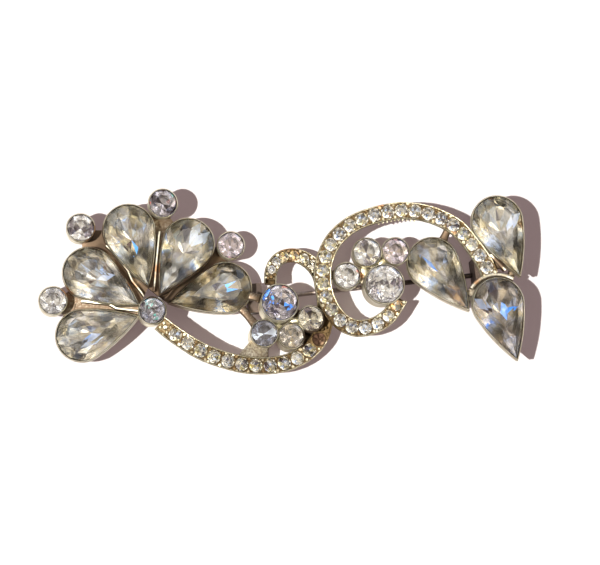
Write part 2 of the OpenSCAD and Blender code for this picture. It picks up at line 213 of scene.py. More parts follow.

# Painted reflections and highlights: facets whose foil is coloured to show the sky, the sun or a flash.
# For each stone: place from its middle (x, y), shade, number of facets
PAINTED_GLINTS = {
    "petal_lower_left": [
        (2.1, 0.1, "haze", 3), (-0.5, 3.2, "plum", 1), (-1.9, -0.5, "white", 2), (0.6, -1.8, "white", 2),
    ],
    "petal_left": [
        (3.2, 1.2, "white", 3), (0.9, -3.3, "white", 2), (-0.5, 0.8, "white", 2), (4.3, -2.6, "white", 2),
        (2.9, -0.5, "haze", 2),
    ],
    "petal_upper_left": [(2.1, -0.2, "white", 3), (1.08, -2.6, "sky", 1), (0.0, -2.1, "plum", 1)],
    "petal_upper_right": [
        (1.2, 1.1, "ice", 3), (-0.5, 2.2, "plum", 1), (3.0, 0.9, "white", 2), (-3.2, 1.1, "haze", 1),
    ],
    "petal_right": [(0.7, 0.2, "sky", 2), (-1.4, -0.2, "plum", 2), (2.4, 2.4, "white", 1)],
    "leaf_inner": [
        (-0.4, 0.0, "blue", 2), (3.0, 2.1, "white", 2), (1.9, -1.8, "white", 2), (3.4, -3.6, "white", 2),
    ],
    "leaf_upper": [
        (2.0, 1.1, "plum", 1), (0.5, 0.4, "plum", 1), (2.7, -0.3, "haze", 2), (1.6, 1.9, "white", 1),
    ],
    "leaf_lower": [
        (1.15, -0.95, "blue", 5), (-2.8, 0.2, "haze", 1), (3.3, 0.7, "white", 1), (-1.0, 1.4, "plum", 1),
        (-1.5, -0.7, "plum", 1),
    ],
    "left_big": [
        (-1.2, 1.4, "silver", 2), (1.2, -0.4, "blue", 1), (-0.2, -2.0, "haze", 1), (1.2, 2.0, "coral", 1),
    ],
    "left_lower": [(0.6, 0.3, "ice", 1), (-0.6, 0.1, "white", 1)],
    "flower_top": [(-1.7, 0.1, "coral", 1), (1.0, 1.1, "teal", 1)],
    "flower_right": [(0.3, -1.6, "rose", 1)],
    "flower_heart": [(0.5, -1.0, "teal", 1), (-0.6, 1.0, "white", 2), (0.9, 0.2, "plum", 1)],
    "right_outer": [(-0.1, 1.6, "rose", 1)],
    "right_inner": [(1.7, 0.5, "coral", 1)],
    "right_big": [(0.0, 1.6, "white", 5), (-1.2, -0.9, "white", 5), (1.4, -0.6, "silver", 3)],
    "right_upper": [(0.9, 0.5, "white", 2)],
}
# Colours that foil-backed facets take on: the foil's own tints, and painted reflections. Sky, blue, ice and
# haze paint the blue sky, white bright and plum dark surroundings, and rose, coral and teal coloured
# flashes
FACET_TINTS_AND_REFLECTIONS = {
    "khaki": (0.95, 0.89, 0.73),
    "silver": (0.96, 0.95, 0.93),
    "olive": (0.8, 0.75, 0.57),
    "straw": (0.95, 0.88, 0.58),
    "brown": (0.42, 0.3, 0.2),
    "plum": (0.16, 0.12, 0.15),
    "grey": (0.6, 0.6, 0.62),
    "sky": (0.13, 0.42, 1.0),
    "blue": (0.06, 0.28, 0.85),
    "ice": (0.8, 0.88, 1.0),
    "haze": (0.5, 0.58, 0.78),
    "rose": (1.0, 0.66, 0.68),
    "coral": (1.0, 0.42, 0.34),
    "amber": (1.0, 0.7, 0.4),
    "teal": (0.2, 0.6, 0.52),
    "white": (1.0, 1.0, 1.0),
}
# How often a facet takes each shade on pear, round and small stones, and on small stones over bare copper
PEAR_SHADES = {"khaki": 44, "silver": 30, "olive": 10, "brown": 2, "white": 14}
ROUND_SHADES = {"silver": 34, "white": 34, "grey": 12, "plum": 16, "khaki": 4}
SMALL_SHADES = {"silver": 30, "white": 50, "straw": 13, "khaki": 4, "plum": 3}
AMBER_SHADES = {"amber": 40, "straw": 30, "white": 30}
# Nearness to a copper spot above which a small stone lies over bare copper
AMBER_FROM = 0.5
# Softness of the painted reflections that are seen whichever way a facet faces
SOFT_SHADES = {"sky": 1.0, "blue": 1.0, "haze": 1.0, "rose": 1.0, "coral": 1.0, "teal": 1.0, "ice": 0.5}
# Tones of some stones' foil: grey, dusk and smoke darken it, mauve, straw and tan tint it, bright lightens
# it
TONES = {
    "clear": (1.0, 1.0, 1.0),
    "bright": (1.07, 1.07, 1.15),
    "grey": (0.78, 0.76, 0.8),
    "mauve": (0.94, 0.89, 0.93),
    "dusk": (0.74, 0.74, 0.79),
    "smoke": (0.48, 0.48, 0.53),
    "straw": (0.98, 0.95, 0.85),
    "tan": (0.86, 0.83, 0.79),
}
STONE_TONES = {
    "flower_heart": "dusk",
    "flower_top": "grey",
    "flower_right": "mauve",
    "left_big": "grey",
    "left_lower": "smoke",
    "left_middle": "tan",
    "left_inner": "straw",
    "right_outer": "mauve",
    "petal_lower_left": "bright",
    "petal_left": "bright",
    "petal_right": "tan",
    "leaf_inner": "bright",
    "leaf_lower": "grey",
}
# Bare copper shows through the plate: middle (x, y), reach
COPPER_SPOTS = [
    (1.7, 4.6, 2.1),
    (12.4, 1.2, 0.9),
    (15.6, 12.0, 0.7),
    (17.6, -4.2, 1.1),
    (19.8, 11.6, 0.9),
    (24.2, 10.3, 0.9),
    (27.3, 8.2, 0.9),
    (31.8, 3.4, 1.0),
    (-29.8, 7.6, 2.2),
    (-23.6, -0.6, 1.4),
    (-19.4, 2.0, 1.6),
    (-33.6, -1.6, 1.4),
    (30.2, 0.4, 1.4),
]
# Painted shade: corners and holes where shade falls, darkened nearly black: middle (x, y), reach
PAINTED_SHADE_SPOTS = [
    (7.0, -6.4, 1.8),
    (4.6, -8.6, 1.5),
    (-28.9, 6.3, 1.2),
    (-12.0, 3.0, 1.6),
    (-14.5, 0.9, 1.7),
    (-17.3, -1.6, 2.0),
    (-20.6, -1.8, 1.2),
    (-25.0, 1.2, 0.9),
    (34.2, 2.6, 0.8),
]
# Smooth metal keeps its edges where faces meet at more than this
SHARP_FROM = math.radians(40)


def middle_of(name):
    """Middle of a cup's rim."""
    return np.array(CUPS[name][1:4])


def reach_of(name, way):
    """How far a cup's wall is from its middle in the direction of the plan vector way."""
    row = CUPS[name]
    if row in ROUNDS:
        return row[4] / 2 + WALL_MIDDLE
    outline = pear_outline(WALL_MIDDLE, *CUP_POINTS)
    angles = np.arctan2(outline[:, 1], outline[:, 0])
    order = np.argsort(angles)
    a = math.atan2(way[1], way[0]) - math.radians(row[4])
    return float(np.interp(a, angles[order], np.hypot(*outline[order].T), period=WHOLE_TURN))


class Maker:
    """Collects a piece: points with tarnish, painted shade and a place in the streaks, faces with material
    and a colour that may paint a reflection.
    """

    def __init__(self):
        self.points = []
        self.faces = []
        self.wear_and_shade = []
        self.slots = []
        self.tints = []
        self.streaks = []

    def add(self, points, faces, wear_and_shade=0.0, slots=None, tints=None, streaks=None):
        start = len(self.points)
        self.points.extend(tuple(p) for p in points)
        self.faces.extend(tuple(start + i for i in face) for face in faces)
        self.wear_and_shade.extend(np.broadcast_to(wear_and_shade, len(points)))
        self.slots.extend(slots or [0] * len(faces))
        self.tints.extend(tints or [facet_tint("white", "clear")] * len(faces))
        self.streaks.extend(np.zeros((len(points), 3)) if streaks is None else streaks)

    def loft(self, rings, ring_wear=0.0, section_wear=0.0):
        """Skins closed rings. Tarnish is one number, or one for each ring or point of the section."""
        count, n = len(rings), len(rings[0])
        faces = []
        for k in range(0, (count - 1) * n, n):
            faces += [(k + i, k + (i + 1) % n, k + n + (i + 1) % n, k + n + i) for i in range(n)]
        faces += [tuple(reversed(range(n))), tuple(range((count - 1) * n, count * n))]
        wear_and_shade = np.zeros((count, n)) + np.reshape(ring_wear, (-1, 1)) + section_wear
        self.add([p for outline in rings for p in outline], faces, wear_and_shade.ravel())

    def build(self, name, node, materials, smooth=False):
        """Makes the piece in metres, in the place of a node of the solids."""
        mesh = bpy.data.meshes.new(name)
        mesh.from_pydata([tuple(c * MM for c in p) for p in self.points], [], self.faces)
        places = np.array(self.points)
        attributes = [
            # Painted shade darkens the plate near the shaded corners and holes
            ("wear_and_shade", "FLOAT", "POINT", "value", np.array(self.wear_and_shade) + nearness(places, PAINTED_SHADE_SPOTS, 1.2)),
            ("copper", "FLOAT", "POINT", "value", nearness(places, COPPER_SPOTS, 0.7)),
            ("streak", "FLOAT_VECTOR", "POINT", "vector", self.streaks),
            ("tint_and_reflection", "FLOAT_COLOR", "FACE", "color", self.tints),
        ]
        for key, kind, domain, field, values in attributes:
            layer = mesh.attributes.new(key, kind, domain)
            layer.data.foreach_set(field, np.array(values, np.float32).ravel())
        mesh.polygons.foreach_set("material_index", np.array(self.slots, np.int32))
        form = bmesh.new()
        form.from_mesh(mesh)
        bmesh.ops.recalc_face_normals(form, faces=form.faces)
        form.to_mesh(mesh)
        form.free()
        for material in materials:
            mesh.materials.append(material)
        if smooth:
            mesh.shade_smooth()
            mesh.set_sharp_from_angle(angle=SHARP_FROM)
        piece = in_scene(name, mesh)
        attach(piece, "root")
        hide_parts(node)


def in_scene(name, data):
    """A new object in the scene."""
    thing = bpy.data.objects.new(name, data)
    bpy.context.scene.collection.objects.link(thing)
    return thing


def nearness(points, spots, top=1.0):
    """How near each point is in plan to one of the spots: top in its middle, falling to 0."""
    share = np.zeros(len(points))
    for x, y, reach in spots:
        away = np.hypot(points[:, 0] - x, points[:, 1] - y)
        share = np.maximum(share, np.exp(-((away / reach) ** 2)))
    return top * share.astype(np.float32)


def ring(r, n, turn=0.0):
    """Round outline of n points."""
    a = np.arange(n) / n * WHOLE_TURN + turn
    return np.stack([r * np.cos(a), r * np.sin(a)], axis=1)


def pear_outline(g, side_points, end_points):
    """Outline of a pear stone grown by g, from the tip along one side, round the end and back.

    It has side_points points along each side, and end_points steps round half of the end.
    """
    side_r = PEAR_SIDE_R + g
    tip = math.asin(SIDE_Y / side_r)
    half = []
    for i in range(side_points):
        a = tip + (SIDE_END - tip) * i / side_points
        half.append((SIDE_X + side_r * math.cos(a), -SIDE_Y + side_r * math.sin(a)))
    for i in range(end_points + 1):
        a = SIDE_END + (math.pi - SIDE_END) * i / end_points
        half.append(((PEAR_R + g) * math.cos(a), (PEAR_R + g) * math.sin(a)))
    return np.array(half + [(x, -y) for x, y in reversed(half[1:-1])])


def half_outline(g):
    """One half of a pear cup's outline grown by g, from the tip to the far end."""
    return pear_outline(g, *CUP_POINTS)[:sum(CUP_POINTS) + 1]


def lifted(outline, z):
    """The points of a plan outline at a height."""
    return np.column_stack([outline, np.full(len(outline), z)])


def pear_to_place(points, row):
    """Tilts, turns and lifts points from a pear's own frame to its place."""
    _, x, y, z, turn, rise = row
    a, b = math.radians(turn), math.radians(rise)
    p = np.array(points, float)
    along = p[:, 0] * math.cos(b) - p[:, 2] * math.sin(b)
    return np.column_stack([
        x + along * math.cos(a) - p[:, 1] * math.sin(a),
        y + along * math.sin(a) + p[:, 1] * math.cos(a),
        z + (p[:, 0] * math.sin(b) + p[:, 2] * math.cos(b)),
    ])


def round_to_place(points, row):
    return np.array(points, float) + np.array(row[1:4])


class Path:
    """Smooth curve through the rows of a scroll, measured by its length."""

    def __init__(self, rows, steps=1600):
        self.rows = rows
        self.t = np.linspace(0, len(rows) - 1, steps + 1)
        line = np.array([self.row_at(t) for t in self.t])
        lengths = np.linalg.norm(np.diff(line[:, :3], axis=0), axis=1)
        self.s = np.concatenate([[0], np.cumsum(lengths)])
        self.length = self.s[-1]

    def knot(self, i):
        if i < 0:
            return 2 * self.rows[0] - self.rows[1]
        if i >= len(self.rows):
            return 2 * self.rows[-1] - self.rows[-2]
        return self.rows[i]

    def row_at(self, t):
        i = min(int(t), len(self.rows) - 2)
        u = t - i
        a, b, c, d = (self.knot(i + k) for k in (-1, 0, 1, 2))
        return b + 0.5 * u * (c - a + u * (2 * a - 5 * b + 4 * c - d + u * (3 * (b - c) + d - a)))

    def at(self, s, nudge=0.01):
        """Middle of the rails, unit vector along, left side in plan, and width, s along the scroll."""
        t = float(np.interp(s, self.s, self.t))
        row = self.row_at(t)
        low, high = max(t - nudge, 0), min(t + nudge, len(self.rows) - 1)
        run = (self.row_at(high) - self.row_at(low))[:3]
        run /= np.linalg.norm(run)
        left = np.array([-run[1], run[0], 0]) / math.hypot(run[0], run[1])
        return row[:3], run, left, row[3]

    def point(self, s, across, down):
        """Point beside the scroll's middle line: across to the left, and down from the rails."""
        at, _, left, _ = self.at(s)
        return at + left * across - np.array([0, 0, down])


LEFT_PATH = Path(LEFT_SCROLL)
RIGHT_PATH = Path(RIGHT_SCROLL)

# Materials


def emptied(owner):
    """The node tree of a material or world, with no nodes in it."""
    owner.use_nodes = True
    owner.node_tree.nodes.clear()
    return owner.node_tree


def add_node(tree, kind, settings=(), inputs=()):
    """Adds a shader node. Inputs that are sockets of other nodes are linked."""
    node = tree.nodes.new("ShaderNode" + kind)
    for key, value in dict(settings).items():
        setattr(node, key, value)
    for key, value in dict(inputs).items():
        if isinstance(value, bpy.types.NodeSocket):
            tree.links.new(value, node.inputs[key])
        else:
            node.inputs[key].default_value = value
    return node


def new_material(name):
    """A material, its empty tree, and a point's place in its object."""
    material = bpy.data.materials.new(name)
    tree = emptied(material)
    return material, tree, add_node(tree, "TexCoord").outputs["Object"]


def finished(material, tree, inputs):
    """Ends a material's tree with its shader."""
    shader = add_node(tree, "BsdfPrincipled", inputs=inputs)
    add_node(tree, "OutputMaterial", inputs={"Surface": shader.outputs[0]})
    return material


def noise(tree, place, scale, detail, roughness=0.5):
    return add_node(tree, "TexNoise", inputs={
        "Vector": place, "Scale": scale, "Detail": detail, "Roughness": roughness}).outputs["Fac"]


def attribute(tree, name):
    """Outputs of a mesh attribute."""
    return add_node(tree, "Attribute", settings={"attribute_name": name}).outputs


def scaled_sum(tree, value, scale, rest):
    """value times scale, and rest added."""
    return add_node(tree, "Math", settings={"operation": "MULTIPLY_ADD"}, inputs={
        0: value, 1: scale, 2: rest}).outputs[0]


def mapped(tree, value, old, new):
    """A value brought from the old range to the new one."""
    return add_node(tree, "MapRange", inputs={
        "Value": value, "From Min": old[0], "From Max": old[1], "To Min": new[0], "To Max": new[1],
    }).outputs[0]


def bump(tree, height, strength, distance, **under):
    """Normal of a bumped surface, over the Normal given under it if there is one."""
    return add_node(tree, "Bump", inputs={
        "Height": height, "Strength": strength, "Distance": distance, **under}).outputs["Normal"]


def ramp(tree, factor, stops, steps="LINEAR"):
    """Colour ramp with (position, colour) stops."""
    node = add_node(tree, "ValToRGB", inputs={"Fac": factor})
    band = node.color_ramp
    band.interpolation = steps
    while len(band.elements) < len(stops):
        band.elements.new(0.5)
    for element, (position, colour) in zip(band.elements, stops):
        element.position = position
        element.color = (*colour, 1)
    return node.outputs["Color"]


def rising(tree, factor, low, high, top=1.0):
    """Share that rises from 0 to top while the factor goes from low to high."""
    return ramp(tree, factor, [(low, (0, 0, 0)), (high, (top,) * 3)])


def mixed(tree, factor, a, b, blend="MIX"):
    """Mix of two colours, which are sockets 6 and 7 of the node."""
    return add_node(tree, "Mix", settings={"data_type": "RGBA", "blend_type": blend}, inputs={
        0: factor, 6: a, 7: b}).outputs[2]


COPPER = (0.52, 0.3, 0.16, 1)
# Painted shade on the pin's wire, which is dark towards both ends, where it runs in the shade under the
# clusters: place along x, share of shade
WIRE_PAINTED_SHADE = [(-1.5, 1.0), (0.5, 0.0), (17.0, 0.0), (18.5, 1.0)]


def plated_metal(name, bright, worn, tarnish, roughness=0.3, dents=0.0):
    """Pale plate, rubbed through in patches, tarnished, and darkened with painted shade in shaded corners,
    where the wear attribute is high.
    """
    material, tree, place = new_material(name)
    patches = noise(tree, place, 900.0, 5.0, 0.6)
    specks = noise(tree, place, 3500.0, 4.0, 0.7)
    plate = mixed(tree, rising(tree, patches, 0.4, 0.7), (*bright, 1), (*worn, 1))
    rubbed = scaled_sum(tree, patches, 0.9, attribute(tree, "copper")["Fac"])
    plate = mixed(tree, rising(tree, rubbed, 0.8, 1.0), plate, COPPER)
    depth = scaled_sum(tree, specks, 0.7, attribute(tree, "wear_and_shade")["Fac"])
    dented = bump(tree, patches, dents, 0.0003)
    return finished(material, tree, {
        "Base Color": mixed(tree, rising(tree, depth, 0.5, 0.95), plate, (*tarnish, 1)),
        "Metallic": 1.0,
        "Roughness": mapped(tree, depth, (0.2, 1.2), (roughness, 0.62)),
        "Normal": bump(tree, specks, 0.25, 0.00004, Normal=dented),
    })


def pin_wire(name, dull, dark):
    """Dull wire, darkened with painted shade where the wire's table says so."""
    material, tree, place = new_material(name)
    along = add_node(tree, "SeparateXYZ", inputs={"Vector": place}).outputs["X"]
    low, high = WIRE_PAINTED_SHADE[0][0], WIRE_PAINTED_SHADE[-1][0]
    stretch = mapped(tree, along, (low * MM, high * MM), (0.0, 1.0))
    tarnish = ramp(tree, stretch, [((x - low) / (high - low), (share,) * 3) for x, share in WIRE_PAINTED_SHADE])
    specks = noise(tree, place, 2500.0, 4.0)
    spots = ramp(tree, specks, [(0.35, dull), (0.7, tuple(0.7 * c for c in dull))])
    return finished(material, tree, {
        "Base Color": mixed(tree, tarnish, spots, (*dark, 1)),
        "Metallic": 1.0,
        "Roughness": mapped(tree, specks, (0.3, 0.7), (0.4, 0.6)),
    })


def cut_glass(name, tint):
    """Clear glass with fine rubbed spots on its facets."""
    material, tree, place = new_material(name)
    rubs = noise(tree, place, 900.0, 3.0)
    return finished(material, tree, {
        "Base Color": ramp(tree, rubs, [(0.3, tint), (0.75, tuple(min(1.0, c * 1.06) for c in tint))]),
        "Roughness": mapped(tree, rubs, (0.5, 0.8), (0.02, 0.1)),
        "IOR": 1.54,
        "Transmission Weight": 1.0,
    })


def foil_back(name, cloud, streak, roughness, ageing=0.24, soft=0.55):
    """Foil behind a stone: each facet has its own tint, which may paint a reflection, and it has clouded
    with age.

    ageing is the roughness that age adds, and soft is that of a facet that is seen whichever way it faces.
    """
    material, tree, place = new_material(name)
    age = noise(tree, place, 450.0, 4.0, 0.65)
    facet = attribute(tree, "tint_and_reflection")
    clouded = mixed(tree, rising(tree, age, 0.45, 0.75, 0.5), facet["Color"], (*cloud, 1))
    lines = noise(tree, attribute(tree, "streak")["Vector"], 1.0, 6.0, 0.65)
    middle = tuple(0.8 + 0.2 * c for c in streak)
    faint = ramp(tree, lines, [(0.36, streak), (0.48, middle), (0.58, (1, 1, 1))])
    aged = mapped(tree, age, (0.35, 0.8), (roughness, roughness + ageing))
    return finished(material, tree, {
        "Base Color": mixed(tree, 1.0, clouded, faint, "MULTIPLY"),
        "Metallic": 1.0,
        "Roughness": mapped(tree, facet["Alpha"], (0.0, 1.0), (soft, aged)),
        "Normal": bump(tree, lines, 0.22, 0.0001),
    })


METAL = plated_metal(
    "plated_metal", bright=(0.74, 0.71, 0.58), worn=(0.53, 0.47, 0.31), tarnish=(0.095, 0.065, 0.042))
SCROLL_METAL = plated_metal(
    "scroll_metal", bright=(0.72, 0.68, 0.5), worn=(0.5, 0.43, 0.25), tarnish=(0.1, 0.065, 0.03),
    roughness=0.26, dents=0.8)
GLUE = plated_metal(
    "old_glue", bright=(0.13, 0.085, 0.05), worn=(0.09, 0.055, 0.03), tarnish=(0.04, 0.022, 0.014),
    roughness=0.5)
PIN_METAL = pin_wire("pin_metal", dull=(0.33, 0.27, 0.25), dark=(0.06, 0.045, 0.038))
PEAR_GLASS = cut_glass("pear_glass", (0.99, 0.985, 0.96))
ROUND_GLASS = cut_glass("round_glass", (0.972, 0.972, 0.977))
PEAR_FOIL = foil_back("pear_foil", cloud=(0.92, 0.88, 0.78), streak=(0.74, 0.7, 0.62), roughness=0.055)
ROUND_FOIL = foil_back("round_foil", cloud=(0.9, 0.9, 0.9), streak=(0.78, 0.77, 0.78), roughness=0.05)
SMALL_FOIL = foil_back("small_foil", cloud=(1.0, 0.97, 0.88), streak=(0.94, 0.9, 0.8), roughness=0.06)

# Stones

# Points of the cuts' outlines: along a pear's side and round half of its end, and round the other stones
PEAR_POINTS = (5, 7)
ROUND_POINTS = 16
SMALL_POINTS = 12
# Turn of the round stones' facets, and what each small stone is turned further than the last
ROUND_TURN = 0.2
SMALL_TURN = 0.37
# Sizes of the girdle, the star facets' corners and the table: growth of the pear's outline, and shares of a
# round stone's diameter and of a small stone's radius
PEAR_SIZES = (0.0, -0.75, -1.7)
ROUND_SIZES = (0.5, 0.4, 0.29)
SMALL_SIZES = (1.0, 0.82, 0.6)
# Sizes of the belly and of the inner ring, as shares of the girdle
BELLY_SIZE = 0.66
INNER_SIZE = 0.32
# Heights of the table, the star facets' corners, the girdle's lower edge, the belly, the inner ring and the
# point. A round stone's are shares of its diameter, and leave out the girdle's
GIRDLE_H = 0.15
PEAR_HEIGHTS = (1.2, 0.62, -GIRDLE_H, -1.2, -1.95, -2.5)
ROUND_HEIGHTS = (0.22, 0.115, -0.2, -0.36, -0.45)
SMALL_HEIGHTS = (0.32, 0.18, -0.08, -0.38, None, -0.75)
# Distance of a pear's point from the middle of its round end, and depth of a small stone's girdle
PEAR_KEEL = 1.5
SMALL_DROP = 0.15


def facet_tint(tint_and_reflection, tone):
    """Colour of a facet, a foil tint or painted reflection from the palette, and how glossy it is."""
    colour = (min(1.0, a * b) for a, b in zip(FACET_TINTS_AND_REFLECTIONS[tint_and_reflection], TONES[tone]))
    return (*colour, 1 - SOFT_SHADES.get(tint_and_reflection, 0.0))


def cut_stone(maker, to_place, cut, streaks_of, seed, shades, tone="clear", painted_glints=()):
    """A cut stone: clear glass above its girdle, and a foil-backed pavilion below it.

    The cut has the outlines of girdle, star facets and table, the heights (None where there is no inner
    ring), and the place of the point. Each painted glint gives its colour, a painted reflection, to the
    facets nearest to its place.
    """
    (girdle, star, table), (top, star_z, girdle_low, belly_z, inner_z, point_z), keel = cut
    n = len(girdle)
    h = n // 2
    keel_at = np.array([keel, 0])
    belly, inner = (keel_at + (girdle - keel_at) * share for share in (BELLY_SIZE, INNER_SIZE))
    layers = [
        lifted(table[0::2], top), lifted(star[1::2], star_z), lifted(girdle, 0), lifted(girdle, girdle_low),
        lifted(belly[1::2], belly_z), [[keel, 0, point_z]],
    ]
    if inner_z is not None:
        layers.append(lifted(inner[0::2], inner_z))
    points = np.concatenate(layers)
    star_at, girdle_at, belly_at, tip = h, 2 * h, 2 * h + 2 * n, 3 * h + 2 * n
    crown = [tuple(range(h))]
    back = []
    for j in range(h):
        before, after = (j - 1) % h, (j + 1) % h
        m, m_back = star_at + j, star_at + before
        g, g_odd, g_next = girdle_at + 2 * j, girdle_at + 2 * j + 1, girdle_at + 2 * after
        crown += [(j, m, after), (j, m_back, g, m), (m, g, g_odd), (m, g_odd, g_next)]
        low, low_odd, low_next = g + n, g_odd + n, g_next + n
        b, b_back = belly_at + j, belly_at + before
        back += [(low, low_odd, b), (low_odd, low_next, b)]
        if inner_z is None:
            back.append((b_back, low, b, tip))
        else:
            c, c_next = tip + 1 + j, tip + 1 + after
            back += [(b_back, low, b, c), (c, b, c_next), (c, c_next, tip)]
        back += [(g, low, low_odd, g_odd), (g_odd, low_odd, low_next, g_next)]
    placed = to_place(points)
    # Facets take foil tints at random; the plum picks paint dark reflections and the white ones bright ones
    picks = random.Random(seed).choices(list(shades), list(shades.values()), k=len(back))
    tints = [facet_tint(tint_and_reflection, tone) for tint_and_reflection in picks]
    middles = [placed[list(face)].mean(axis=0)[:2] for face in back]
    band = set(range(girdle_at, girdle_at + n))
    facets = [k for k, face in enumerate(back) if band.isdisjoint(face)]
    for x, y, tint_and_reflection, count in painted_glints:
        for k in sorted(facets, key=lambda i: math.dist(middles[i], (x, y)))[:count]:
            tints[k] = facet_tint(tint_and_reflection, "clear")
    tints = [facet_tint("white", "clear")] * len(crown) + tints
    slots = [0] * len(crown) + [1] * len(back)
    maker.add(placed, crown + back, slots=slots, tints=tints, streaks=streaks_of(points))


def painted_glints_of(name):
    """A stone's painted reflections, placed in the brooch's plan."""
    x, y = CUPS[name][1:3]
    return [(x + dx, y + dy, tint_and_reflection, count) for dx, dy, tint_and_reflection, count in PAINTED_GLINTS.get(name, [])]


def fan_streaks(points, beyond=1.5, across=0.45, along=0.22):
    """Streaks that fan out from beyond a pear's tip: their rates across (for a degree) and along."""
    x, y = (np.array([PEAR_REACH + beyond, 0]) - points[:, :2]).T
    return np.column_stack([np.degrees(np.arctan2(y, x)) * across, np.hypot(x, y) * along, points[:, 2]])


def plain_streaks(points, rate=0.9):
    """An even pattern, for small and round stones."""
    return points * rate


def cup_stone(row, cup_to_place, cut, streaks_of, seed, shades, materials):
    """The stone in one cup."""
    def to_place(points):
        return cup_to_place(points - np.array([0, 0, GIRDLE_DROP]), row)

    name = row[0]
    maker = Maker()
    tone = STONE_TONES.get(name, "clear")
    cut_stone(maker, to_place, cut, streaks_of, seed, shades, tone, painted_glints_of(name))
    maker.build("stone_" + name, name, materials)


def pear_stone(row, seed):
    cut = [pear_outline(g, *PEAR_POINTS) for g in PEAR_SIZES], PEAR_HEIGHTS, PEAR_KEEL
    cup_stone(row, pear_to_place, cut, fan_streaks, seed, PEAR_SHADES,
              [PEAR_GLASS, PEAR_FOIL])


def round_stone(row, seed):
    d = row[4]
    top, star, belly, inner, point = (d * share for share in ROUND_HEIGHTS)
    heights = top, star, -GIRDLE_H, belly, inner if row[0] in FINE_CUT else None, point
    cut = [ring(d * share, ROUND_POINTS, ROUND_TURN) for share in ROUND_SIZES], heights, 0.0
    cup_stone(row, round_to_place, cut, plain_streaks, seed, ROUND_SHADES,
              [ROUND_GLASS, ROUND_FOIL])


def seats_of(rows):
    """Places of the seats along a scroll, each with its step and whether it holds a stone."""
    for first, step, count, empty in rows:
        for i in range(count):
            yield first + i * step, step, i != empty


def stone_radius(width, step):
    """Radius of a small stone, which nearly fills the channel and stays clear of its neighbours."""
    return min((width - STONE_MARGIN) / 2, step / 2 - SEAT_GAP)


def small_stones(name, path, rows, seed):
    """The stones of a scroll's rows."""
    maker = Maker()
    for k, (s, step, filled) in enumerate(seats_of(rows)):
        if not filled:
            continue
        at, run, left, width = path.at(s)
        up = np.cross(run, left)
        r = stone_radius(width, step)
        outlines = [ring(r * share, SMALL_POINTS, SMALL_TURN * k) for share in SMALL_SIZES]

        def to_place(points):
            p = np.array(points, float)
            return at - np.array([0, 0, SMALL_DROP]) + p[:, :1] * run + p[:, 1:2] * left + p[:, 2:] * up

        over_copper = nearness(np.array([at]), COPPER_SPOTS)[0] > AMBER_FROM
        shades = AMBER_SHADES if over_copper else SMALL_SHADES
        cut_stone(maker, to_place, (outlines, SMALL_HEIGHTS, 0.0), plain_streaks, seed + k, shades)
    maker.build("stones_" + name, name, [PEAR_GLASS, SMALL_FOIL])


# Metal

# The bars' width and height, and how square their section is (1 is round, 0 square)
BAR_W = 1.4
BAR_H = 1.2
BAR_ROUND = 0.6
BAR_SIDES = 16
# Sections along a bar, the size of its middle one, and how much its ends grow
BAR_SECTIONS = 9
BAR_WAIST = 0.86
BAR_FLARE = 0.2
# A lump of solder from its foot up: half width and depth below its top, as shares of its half width, and
# tarnish
LUMP = [(1.0, 1.6, 0.45), (1.0, 0.7, 0.3), (0.85, 0.3, 0.1), (0.55, 0.08, 0.1), (0.2, 0.0, 0.2)]
# Points along the webs, the line round the lower leaf, its band and the skirt
WEB_POINTS = 14
TAIL_POINTS = 15
BAND_POINTS = 16
SKIRT_POINTS = 10

# Cup sections from the inside of the floor, up over the rim and down the outside: growth from the stone's
# outline, height from the rim, tarnish
PEAR_CUP = [
    (-1.0, -2.87, 0.9),
    (0.05, -1.4, 0.8),
    (0.05, -0.2, 0.9),
    (0.07, -0.05, 0.3),
    (0.12, 0.0, 0.0),
    (0.17, -0.05, 0.0),
    (0.2, -0.17, 0.55),
    (0.27, -0.3, 0.5),
    (0.25, -0.6, 0.35),
    (0.22, -1.1, 0.3),
    (0.24, -1.7, 0.35),
    (0.14, -1.8, 0.5),
    (-0.8, -1.84, 0.7),
    (-0.84, -2.0, 0.6),
    (-0.9, -3.2, 0.5),
    (-1.1, -3.34, 0.5),
]
# Gap between a round stone's point and its cup's floor
FLOOR_GAP = 0.06
ROUND_CUP = [
    (0.05, -0.9, 0.8),
    (0.05, -0.2, 0.9),
    (0.07, -0.05, 0.3),
    (0.12, 0.0, 0.0),
    (0.17, -0.05, 0.0),
    (0.2, -0.17, 0.4),
    (0.27, -0.3, 0.3),
    (0.25, -0.55, 0.15),
    (0.22, -0.9, 0.1),
]
# The rest of a round cup's section: growth, height above the cup's underside, tarnish
ROUND_FOOT = [(0.1, 0.35, 0.1), (0.13, 0.25, 0.1), (0.13, 0.1, 0.1), (0.0, 0.0, 0.3)]


def pear_cup(maker, row):
    rings = [pear_to_place(lifted(pear_outline(g, *CUP_POINTS), z), row) for g, z, _ in PEAR_CUP]
    maker.loft(rings, [w for _, _, w in PEAR_CUP])


def round_cup(maker, row, points=48):
    _, _, _, rim, d, underside = row
    floor = GIRDLE_DROP - ROUND_HEIGHTS[-1] * d + FLOOR_GAP
    foot = [(g, up - (rim - underside), w) for g, up, w in ROUND_FOOT]
    section = [(-0.6, -floor, 0.9)] + ROUND_CUP + foot
    rings = [round_to_place(lifted(ring(d / 2 + g, points), z), row) for g, z, _ in section]
    maker.loft(rings, [w for _, _, w in section])


